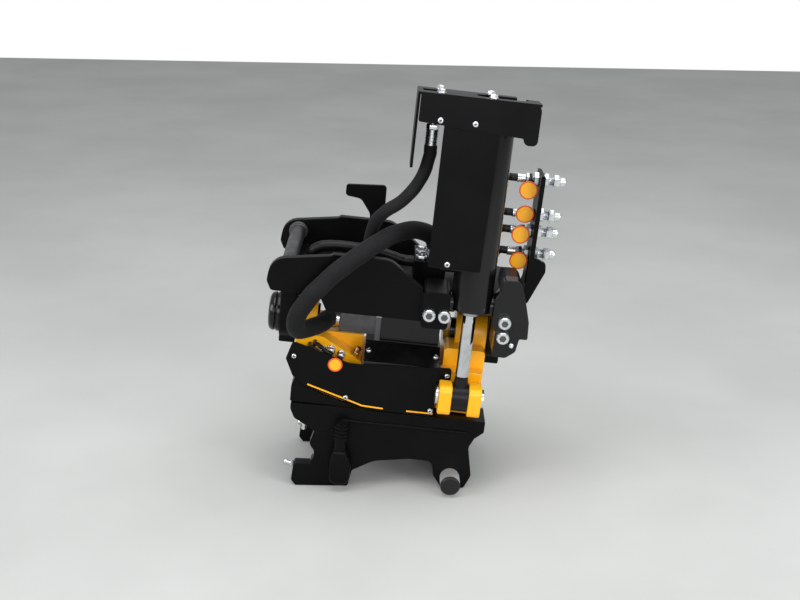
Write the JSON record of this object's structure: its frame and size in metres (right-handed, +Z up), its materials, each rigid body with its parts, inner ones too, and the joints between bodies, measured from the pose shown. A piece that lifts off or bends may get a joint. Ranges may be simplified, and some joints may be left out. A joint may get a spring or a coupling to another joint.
{
  "type": "excavator tilt rotator",
  "caption": "Excavator tilt rotator on its lower hitch: worm-driven endless turning, tilting upper frame moved by one upright cylinder, side-locking hitch pins, hoses and couplings.",
  "frame": {"origin": "on the floor under the middle of the machine's box, as it stands on its hitch", "axes": "+Z up from the floor, +X along the hitch from the front claw to the lock pins, +Y away from the tilt cylinder, along the lock pins"},
  "size_m": [0.589, 0.3616, 0.8189],
  "materials": {
    "black_paint": "satin",
    "yellow_paint": "gloss",
    "zinc": "satin",
    "steel": "satin",
    "chrome": "gloss",
    "bronze": "satin",
    "rubber": "matte",
    "sleeve": "matte",
    "tag": "gloss"
  },
  "bodies": {
    "lower_hitch": {"hitch_deck": "black_paint", "hitch_plate_near": "black_paint", "hitch_plate_far": "black_paint", "lock_cylinder": "black_paint", "rotor_hub": "steel", "worm_wheel": "bronze", "swivel_shaft": "steel", "aux_ferrule": "black_paint", "aux_elbow": "black_paint", "aux_fittings": "zinc"},
    "lock_pin_near": {"lock_pin_near": "steel"},
    "lock_pin_far": {"lock_pin_far": "steel"},
    "rotor_housing": {"gear_housing": "yellow_paint", "rod_clevis": "yellow_paint", "rod_pin": "zinc", "side_cover": "black_paint", "top_cover": "black_paint", "front_skid": "black_paint", "slew_motor": "black_paint", "worm_cap": "black_paint", "valve_block": "zinc", "swivel_cover": "black_paint", "tilt_axle_front": "black_paint", "tilt_axle_rear": "black_paint", "cover_screws": "zinc", "housing_fittings": "zinc", "grease_lines": "rubber"},
    "worm": {"worm_shaft": "steel"},
    "upper_frame": {"base_plate": "black_paint", "side_plate_near": "black_paint", "side_plate_far": "black_paint", "cross_pin": "zinc", "hanger_front": "black_paint", "hanger_rear": "black_paint", "tilt_bush_front": "bronze", "tilt_bush_rear": "bronze", "trunnion_arm": "black_paint", "trunnion_arm_cap": "black_paint", "trunnion_block": "black_paint", "trunnion_block_cap": "black_paint", "cap_screws": "zinc", "coupling_bracket": "black_paint", "bulkhead_couplings": "zinc", "port_tags": "tag", "hose_guide": "black_paint", "hose_manifold": "black_paint", "main_hose": "sleeve", "middle_hose": "rubber", "coupling_hoses": "rubber"},
    "tilt_cylinder": {"barrel": "black_paint", "gland": "steel", "barrel_head": "black_paint", "hood": "black_paint", "guard_plate": "black_paint", "hood_bolts": "zinc", "port_fitting": "zinc", "cylinder_hose": "sleeve"},
    "tilt_rod": {"piston_rod": "chrome", "piston": "steel", "piston_seal": "rubber"}
  },
  "joints": [
    {"name": "rotation", "type": "hinge", "parent": "lower_hitch", "child": "rotor_housing", "pos_m": [-0.02534, 0.017, 0.312], "axis": [0.0924, 0, 0.9957], "continuous": true},
    {"name": "worm_turn", "type": "hinge", "parent": "rotor_housing", "child": "worm", "pos_m": [-0.03569, 0.127, 0.20048], "axis": [0.9957, 0, -0.0924], "continuous": true},
    {"name": "tilt", "type": "hinge", "parent": "rotor_housing", "child": "upper_frame", "pos_m": [-0.02534, 0.017, 0.312], "axis": [0.9957, 0, -0.0924], "range_deg": [-40, 40], "deforming": ["main_hose"]},
    {"name": "barrel_swing", "type": "hinge", "parent": "upper_frame", "child": "tilt_cylinder", "pos_m": [0.11171, -0.12113, 0.40373], "axis": [0.9957, 0, -0.0924], "range_deg": [-20, 20], "deforming": ["cylinder_hose"]},
    {"name": "rod_swing", "type": "hinge", "parent": "rotor_housing", "child": "tilt_rod", "pos_m": [0.09416, -0.133, 0.21454], "axis": [0.9957, 0, -0.0924], "range_deg": [-20, 20]},
    {"name": "lock_slide_near", "type": "slide", "parent": "lower_hitch", "child": "lock_pin_near", "axis": [0, 1, 0], "range_m": [0, 0.045]},
    {"name": "lock_slide_far", "type": "slide", "parent": "lower_hitch", "child": "lock_pin_far", "axis": [0, -1, 0], "range_m": [0, 0.045]}
  ],
  "couplings": [
    {"joint": "worm_turn", "follows": "rotation", "ratio": -40},
    {"joint": "barrel_swing", "follows": "tilt", "ratio": -0.5},
    {"joint": "rod_swing", "follows": "tilt", "ratio": 0.5},
    {"joint": "lock_slide_far", "follows": "lock_slide_near", "ratio": 1}
  ]
}
